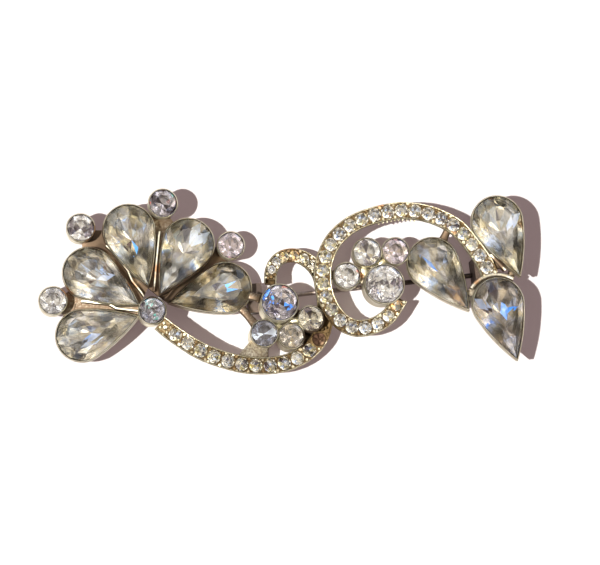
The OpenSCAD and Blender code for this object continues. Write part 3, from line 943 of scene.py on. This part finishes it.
def beam(maker, start, end, wear_and_shade):
    """A cast bar with rounded edges, a little thinner in its middle than where it meets the cups."""
    start, end = np.array(start, float), np.array(end, float)
    run = end - start
    run /= np.linalg.norm(run)
    left = np.array([-run[1], run[0], 0]) / math.hypot(run[0], run[1])
    up = np.cross(run, left)
    angles = np.arange(BAR_SIDES) / BAR_SIDES * WHOLE_TURN
    across = np.sign(np.cos(angles)) * np.abs(np.cos(angles)) ** BAR_ROUND * BAR_W / 2
    high = np.sign(np.sin(angles)) * np.abs(np.sin(angles)) ** BAR_ROUND * BAR_H / 2
    rings = []
    for share in np.linspace(0, 1, BAR_SECTIONS):
        size = BAR_WAIST + BAR_FLARE * (2 * share - 1) ** 2
        at = start + (end - start) * share
        rings.append([at + (left * a + up * b) * size for a, b in zip(across, high)])
    maker.loft(rings, wear_and_shade)


def corner_between(names, rounds=60, step=0.2):
    """Middle of the gap between three round cups in plan, found in small steps, and its half width."""
    cups = [CUPS[name] for name in names]
    at = np.mean([middle_of(name)[:2] for name in names], axis=0)
    for _ in range(rounds):
        gaps = [math.dist(at, cup[1:3]) - cup[4] / 2 for cup in cups]
        for cup, gap in zip(cups, gaps):
            at = at - (at - cup[1:3]) * (gap - np.mean(gaps)) * step / math.dist(at, cup[1:3])
    return at, float(np.mean(gaps))


def lump(maker, at, r, top, wear_and_shade, points=14):
    """A lump of solder with its middle at a place in plan."""
    rings = [lifted(ring(r * wide, points), top - low * r) + (*at, 0) for wide, low, _ in LUMP]
    maker.loft(rings, wear_and_shade)


def solder(maker, names, drop, spread=0.15):
    """A lump that fills the corner between three cups, and spreads a little over their walls."""
    at, half = corner_between(names)
    top = min(middle_of(name)[2] for name in names) - drop
    lump(maker, at, half + spread, top, [w for _, _, w in LUMP])


def bar_from(name, end):
    """Start of a bar that leaves a cup towards end: in the cup's wall, below its rim."""
    start = middle_of(name) - np.array([0, 0, BAR_DROP])
    way = np.array(end, float) - start
    return start + way * reach_of(name, way) / math.hypot(way[0], way[1])


def height_on(corners, x, y):
    """Height at a place in plan of the plane through three corners."""
    a, b, c = corners
    across = np.cross(b - a, c - a)
    return a[2] - (across[0] * (x - a[0]) + across[1] * (y - a[1])) / across[2]


def below(name):
    """Middle of a cup, at the height of the webs."""
    return middle_of(name) - np.array([0, 0, WEB_DROP])


def flank(name, side, outer_cup):
    """Line where a web meets a petal's cup on its left (1) or right (-1), until it faces outer_cup.

    The web stops at the cup's upper wall, or runs on under it to the lower one.
    """
    row = CUPS[name]
    corners = below("flower_heart"), below(name), below(outer_cup)
    half = half_outline(WALL_MIDDLE)
    way = middle_of(outer_cup) - middle_of(name)
    facing = abs(math.remainder(math.atan2(way[1], way[0]) - math.radians(row[4]), WHOLE_TURN))
    last = int(np.searchsorted(np.arctan2(half[:, 1], half[:, 0]), facing))
    upper = pear_to_place(lifted(half * (1, side), -BAR_DROP), row)
    lower = pear_to_place(lifted(half_outline(-LOWER_WALL) * (1, side), -WEB_DROP), row)
    points = []
    for i in np.linspace(0, last, WEB_POINTS).astype(int):
        x, y, z = upper[i]
        if z + BAR_DROP - height_on(corners, x, y) > LOWER_WALL_DROP:
            x, y, _ = lower[i]
        points.append((x, y, height_on(corners, x, y)))
    return np.array(points)


def plate(maker, near, far, wear_and_shade=0.5):
    """A flat plate between two lines of points."""
    thick = np.array([0, 0, WEB_T])
    maker.loft([[p, q, q - thick, p - thick] for p, q in zip(near, far)], wear_and_shade)


def fin(maker, line, width, height, foot_wear, top_wear, slope=0.12, side_wear=0.5):
    """A thin wall that stands on a line of points, half as wide along its top."""
    line = np.array(line, float)
    run = np.gradient(line[:, :2], axis=0)
    left = lifted(np.column_stack([-run[:, 1], run[:, 0]]), 0)
    side = left / np.hypot(*run.T)[:, None] * width / 2
    shoulder = height - slope
    section = [(-1, 0, foot_wear), (1, 0, foot_wear), (1, shoulder, side_wear), (0.5, height, top_wear),
               (-0.5, height, top_wear), (-1, shoulder, side_wear)]
    rings = [[p + s * a + np.array([0, 0, z]) for a, z, _ in section] for p, s in zip(line, side)]
    maker.loft(rings, section_wear=[w for _, _, w in section])


def web(maker, a, b, outer_cup):
    """The plate between two petals, with a thin fin along its middle that ends before the outer cup."""
    left, right = flank(a, 1, outer_cup), flank(b, -1, outer_cup)
    middles = (left + right) / 2
    middles[-1] = below(outer_cup)
    plate(maker, left, middles, 0.6)
    plate(maker, middles, right, 0.6)
    fin(maker, middles[:-3], *WEB_FIN)


def tail(maker):
    """The plate and the band round the lower leaf, and the sliver beside the upper one."""
    middle = below("leaf_lower")
    knots = np.array(TAIL_LINE)
    steps = np.linspace(0, len(knots) - 1, TAIL_POINTS)
    far = np.column_stack([np.interp(steps, range(len(knots)), knots[:, k]) for k in range(3)])
    near = []
    for way in far - middle:
        reach = reach_of("leaf_lower", way) - WALL_MIDDLE - LOWER_WALL
        near.append(middle + way * reach / math.hypot(way[0], way[1]))
    plate(maker, near, far)
    angles = np.radians(np.linspace(*BAND_TURN, BAND_POINTS))
    band = lifted(np.column_stack([np.cos(angles), np.sin(angles)]) * BAND_R + middle[:2], BAND_FOOT)
    fin(maker, band, *BAND_FIN)
    fin(maker, SLIVER, *SLIVER_FIN)


def skirt(maker):
    """The sloping plate from the lower left cup to the scroll's inner side."""
    x, y, _ = middle_of("left_lower")
    r = reach_of("left_lower", (1, 0))
    near = [(x + r * math.cos(a), y + r * math.sin(a), SKIRT_Z)
            for a in np.radians(np.linspace(*SKIRT_TURN, SKIRT_POINTS))]
    far = [LEFT_PATH.point(s, SKIRT_ASIDE, SKIRT_DOWN) for s in np.linspace(*SKIRT_RUN, SKIRT_POINTS)]
    plate(maker, np.array(near), far)


def bead(maker, at, r, wear_and_shade, layers=4, points=8):
    """A small round bead."""
    angles = [math.pi * k / layers for k in range(1, layers)]
    maker.loft([lifted(ring(r * math.sin(a), points), r * math.cos(a)) + at for a in angles], wear_and_shade)


# Scroll section from the foot of the left side over the left rail to the channel's floor: inset from the
# side, depth below the rails, tarnish
RAIL = [
    (0.55, 2.6, 0.5),
    (0.45, 2.5, 0.45),
    (0.32, 2.1, 0.45),
    (0.06, 0.5, 0.4),
    (0.0, 0.3, 0.35),
    (0.04, 0.1, 0.5),
    (0.11, 0.0, 0.36),
    (0.19, 0.02, 0.36),
    (0.27, 0.14, 0.6),
    (0.3, 1.15, 0.9),
]
# Most that a rail sways inwards
RAIL_SWAY = 0.05
# The channel's plate: depth of its top and foot below the rails, and its inset from the scroll's sides
PLATE_DROP = 0.24
PLATE_FOOT = 1.1
PLATE_INSET = 0.28
# Edge of one seat's share of the plate, from its foot up: depth below the rails, tarnish
CELL_EDGE = [(PLATE_FOOT, 0.8), (PLATE_DROP, 0.75)]
# Hole of a seat from its lip down: share of its radius, depth below the rails, tarnish
SEAT_HOLE = [(1.0, PLATE_DROP, 0.6), (1.0, 0.34, 0.75), (0.86, 0.6, 0.9), (0.35, 1.0, 0.95)]
# Old glue from its foot over its edge inwards: share of the seat's radius, depth below the rails, tarnish
OLD_GLUE = [(0.97, 0.72, 0.5), (0.97, 0.42, 0.4), (0.8, 0.5, 0.1), (0.55, 0.44, 0.3), (0.3, 0.5, 0.0),
            (0.1, 0.46, 0.2)]


def scroll_body(maker, path, sections, rng):
    """The scroll's two sides with their rails, and the channel between them."""
    rings = []
    for s in np.linspace(0, path.length, sections):
        half = path.at(s)[3] / 2
        outline = []
        for side, section in ((1, RAIL), (-1, RAIL[::-1])):
            sway = rng.uniform(0, RAIL_SWAY)
            outline += [path.point(s, side * (half - inset - sway), down + sway / 2)
                        for inset, down, _ in section]
        rings.append(outline)
    maker.loft(rings, section_wear=[w for _, _, w in RAIL + RAIL[::-1]])


def plate_strip(maker, path, low, high, drop, wear_and_shade, step=0.6):
    """A plain stretch of the plate that fills the channel."""
    rings = []
    for s in np.linspace(low, high, max(2, int((high - low) / step) + 1)):
        half = path.at(s)[3] / 2 - PLATE_INSET
        corners = ((half, PLATE_FOOT), (half, drop), (-half, drop), (-half, PLATE_FOOT))
        rings.append([path.point(s, across, down) for across, down in corners])
    maker.loft(rings, wear_and_shade)


def seat_cell(maker, path, s, step, filled, points=32, overlap=0.01):
    """One stone's share of the plate: a hole with a cone below it, and a square edge.

    An empty seat keeps the glue that held its stone, which is a little uneven.
    """
    width = path.at(s)[3]
    half = width / 2 - PLATE_INSET
    r = stone_radius(width, step) + SEAT_GAP
    reach = step / 2 + overlap
    angles = (np.arange(points) + 0.5) / points * WHOLE_TURN
    to_edge = [1 / max(abs(math.cos(a)) / reach, abs(math.sin(a)) / half) for a in angles]

    def around(sizes, down, ripple=0.0):
        return [path.point(s + size * math.cos(a), size * math.sin(a), down + ripple * math.sin(5 * a))
                for size, a in zip(sizes, angles)]

    rings = [around(to_edge, down) for down, _ in CELL_EDGE]
    rings += [around([r * share] * points, down) for share, down, _ in SEAT_HOLE]
    maker.loft(rings, [w for _, w in CELL_EDGE] + [w for _, _, w in SEAT_HOLE])
    if not filled:
        first = len(maker.faces)
        rings = [around([r * share] * points, down, ripple=0.05) for share, down, _ in OLD_GLUE]
        maker.loft(rings, [w for _, _, w in OLD_GLUE])
        maker.slots[first:] = [1] * (len(maker.faces) - first)


# Plain stretches of the channel's plate: from, to, depth below the rails, tarnish
# The middle stretch, under the crossing, sits deep and is darkened with painted shade
LEFT_PLATES = [(0.05, 1.94, 0.3, 0.6), (29.9, 40.3, 0.8, 0.9), (50.4, 51.3, 0.3, 0.6)]
RIGHT_PLATES = [(0.1, 0.3, 0.3, 0.5)]
# Grains at the ends of the left scroll's rows: place along it, place across, radius
LEFT_STUDS = [
    (0.5, 0.4, 0.34), (0.6, -0.45, 0.3), (1.2, 0.05, 0.4), (1.8, 0.5, 0.3), (1.75, -0.5, 0.28),
    (30.4, 0.2, 0.36), (30.8, -0.4, 0.25), (50.8, 0.1, 0.4), (51.0, -0.4, 0.25),
]
# Fine beads on the arch's inner wall: places along the scroll, radius, how far out and how deep they sit
ARCH_BEADS = np.arange(16.2, 23.2, 0.7)
BEAD_R = 0.17
BEAD_OUT = 0.02
BEAD_DROP = 0.75
# Grains on the rails: distance from the scroll's side, depth below the rails, radius
RAIL_GRAIN = (0.45, 0.2, 0.33)
FINE_GRAIN = (0.33, 0.16, 0.22)
# Share of the rail grains that have a fine one beside them, and how far along the scroll it is from theirs
FINE_SHARE = 0.6
FINE_ALONG = (-0.55, 0.55)


def grain(maker, path, s, across, down, r, rng):
    """A grain of metal near a place on the scroll, no two quite alike."""
    along = s + rng.uniform(-0.1, 0.1)
    aside = across + rng.uniform(-0.07, 0.05)
    size = r * rng.uniform(0.75, 1.15)
    bead(maker, path.point(along, aside, down), size, wear_and_shade=rng.choice((0.3, 0.5, 0.65)))


def rail_grains(maker, path, row, rng):
    """Grains on both rails between the stones of a row."""
    first, step, count, _ = row
    for i in range(count + 1):
        s = first + (i - 0.5) * step
        half = path.at(s)[3] / 2
        for side in (-1, 1):
            inset, down, r = RAIL_GRAIN
            grain(maker, path, s, side * (half - inset), down, r, rng)
            if rng.random() < FINE_SHARE:
                inset, down, r = FINE_GRAIN
                grain(maker, path, s + rng.choice(FINE_ALONG), side * (half - inset), down, r, rng)


def scroll(name, path, rows, stretches, studs, beads, sections, seed):
    """A scroll's body with its plate and seats, the grains beside its stones and the beads on its wall."""
    rng = random.Random(seed)
    maker = Maker()
    scroll_body(maker, path, sections, rng)
    for low, high, drop, wear_and_shade in stretches:
        plate_strip(maker, path, low, high, drop, wear_and_shade)
    for row in rows:
        for s, step, filled in seats_of([row]):
            seat_cell(maker, path, s, step, filled)
        rail_grains(maker, path, row, rng)
    for s, across, r in studs:
        grain(maker, path, s, across, FINE_GRAIN[1], r, rng)
    for s in beads:
        bead(maker, path.point(s, path.at(s)[3] / 2 + BEAD_OUT, BEAD_DROP), BEAD_R, wear_and_shade=0.0)
    maker.build(name, "setting", [SCROLL_METAL, GLUE], smooth=True)


def metalwork():
    """All of the setting, in five pieces."""
    for name, rows, cup in (("pear_cups", PEARS, pear_cup), ("round_cups", ROUNDS, round_cup)):
        maker = Maker()
        for row in rows:
            cup(maker, row)
        maker.build(name, "setting", [METAL], smooth=True)
    maker = Maker()
    drop = np.array([0, 0, BAR_DROP])
    for a, b, wear_and_shade in CUP_BARS:
        beam(maker, bar_from(a, middle_of(b) - drop), bar_from(b, middle_of(a) - drop), wear_and_shade)
    for name, x, y, z, wear_and_shade in END_BARS:
        beam(maker, bar_from(name, (x, y, z)), (x, y, z), wear_and_shade)
    for *names, lump_drop in SOLDER:
        solder(maker, names, lump_drop)
    # A dark lump paints the deep shade of the hole beside the empty seat
    x, y, r, top, wear_and_shade = PAINTED_SHADE_LUMP
    lump(maker, (x, y), r, top, wear_and_shade)
    for a, b, outer_cup in WEBS:
        web(maker, a, b, outer_cup)
    tail(maker)
    skirt(maker)
    maker.build("webs_and_bars", "setting", [METAL], smooth=True)
    scroll("scroll_left", LEFT_PATH, LEFT_ROWS, LEFT_PLATES, LEFT_STUDS, beads=[], sections=170, seed=5)
    scroll("scroll_right", RIGHT_PATH, RIGHT_ROWS, RIGHT_PLATES, [], beads=ARCH_BEADS, sections=190, seed=6)


# Stage

# Patches of the surroundings: place on the scale from which a colour holds, and the colour
PATCHES = [
    (0.0, (0.07, 0.05, 0.06)),
    (0.12, (0.27, 0.22, 0.19)),
    (0.26, (0.52, 0.46, 0.37)),
    (0.62, (0.64, 0.58, 0.5)),
    (0.8, (0.3, 0.5, 0.95)),
    (0.86, (0.6, 0.75, 1.05)),
    (0.94, (3.0, 2.9, 2.7)),
]
# The photograph's width in pixels, and its pixels to a millimetre
PHOTO_WIDTH = 600
PHOTO_SCALE = 6.37


def paper(half=0.6):
    """White paper, a little mottled, with a faint glow that lights the shadows on it."""
    mesh = bpy.data.meshes.new("paper")
    corners = [(-half, -half, 0), (half, -half, 0), (half, half, 0), (-half, half, 0)]
    mesh.from_pydata(corners, [], [(0, 1, 2, 3)])
    material, tree, place = new_material("paper")
    fibres = noise(tree, place, 60.0, 2.0)
    mesh.materials.append(finished(material, tree, {
        "Base Color": ramp(tree, fibres, [(0.3, (0.36, 0.355, 0.35)), (0.7, (0.37, 0.365, 0.36))]),
        "Roughness": 0.9,
        "Specular IOR Level": 0.1,
        "Emission Color": (0.147, 0.103, 0.099, 1),
        "Emission Strength": 1.0,
    }))
    in_scene("paper", mesh)


def sky():
    """Soft surroundings: a grey-brown room with bright, blue and dark patches for the facets to catch."""
    world = bpy.data.worlds.new("surroundings")
    bpy.context.scene.world = world
    tree = emptied(world)
    way = add_node(tree, "TexCoord").outputs["Generated"]
    cells = add_node(tree, "TexVoronoi", inputs={"Vector": way, "Scale": 2.4})
    pick = add_node(tree, "SeparateColor", inputs={"Color": cells.outputs["Color"]}).outputs[0]
    light_path = add_node(tree, "LightPath").outputs
    colour = ramp(tree, pick, PATCHES, "CONSTANT")
    dimmed = mixed(tree, light_path["Is Diffuse Ray"], colour, (0.374, 0.294, 0.32, 1), "MULTIPLY")
    shown = mixed(tree, light_path["Is Camera Ray"], dimmed, (0.92, 0.91, 0.9, 1))
    back = add_node(tree, "Background", inputs={"Color": shown, "Strength": 1.06})
    add_node(tree, "OutputWorld", inputs={"Surface": back.outputs[0]})


def sun():
    data = bpy.data.lights.new("key", "SUN")
    data.energy = 10.0
    data.angle = math.radians(1.2)
    data.color = (1.0, 0.98, 0.95)
    lamp = in_scene("key", data)
    lamp.rotation_mode = "QUATERNION"
    lamp.rotation_quaternion = Vector((0.475, 0.16, -1.0)).to_track_quat("-Z", "Y")


def camera(distance=0.6, roll=-0.011):
    """Looks down, leaning a little to the lower left, from far off."""
    data = bpy.data.cameras.new("camera")
    cam = in_scene("camera", data)
    bpy.context.scene.camera = cam
    target = Vector((2.95, 0.16, 5.0)) * MM
    back = Vector((-0.10, -0.14, 1.0)).normalized()
    cam.location = target + back * distance
    data.lens = data.sensor_width * distance / (PHOTO_WIDTH / PHOTO_SCALE * MM)
    side = Vector((0, 1, 0)).cross(back).normalized()
    level = Matrix((side, back.cross(side), back)).transposed().to_quaternion()
    cam.rotation_mode = "QUATERNION"
    cam.rotation_quaternion = level @ Quaternion((0, 0, 1), roll)
    data.clip_start = 0.01
    data.clip_end = 10.0


metalwork()
for k, row in enumerate(PEARS):
    pear_stone(row, seed=20 + k)
for k, row in enumerate(ROUNDS):
    round_stone(row, seed=50 + k)
small_stones("pave_left", LEFT_PATH, LEFT_ROWS, seed=100)
small_stones("pave_right", RIGHT_PATH, RIGHT_ROWS, seed=200)
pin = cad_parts["pin_back"]
pin.data.materials.clear()
pin.data.materials.append(PIN_METAL)
paper()
sky()
sun()
camera()
scene = bpy.context.scene
scene.view_settings.view_transform = "Standard"
scene.view_settings.look = "None"
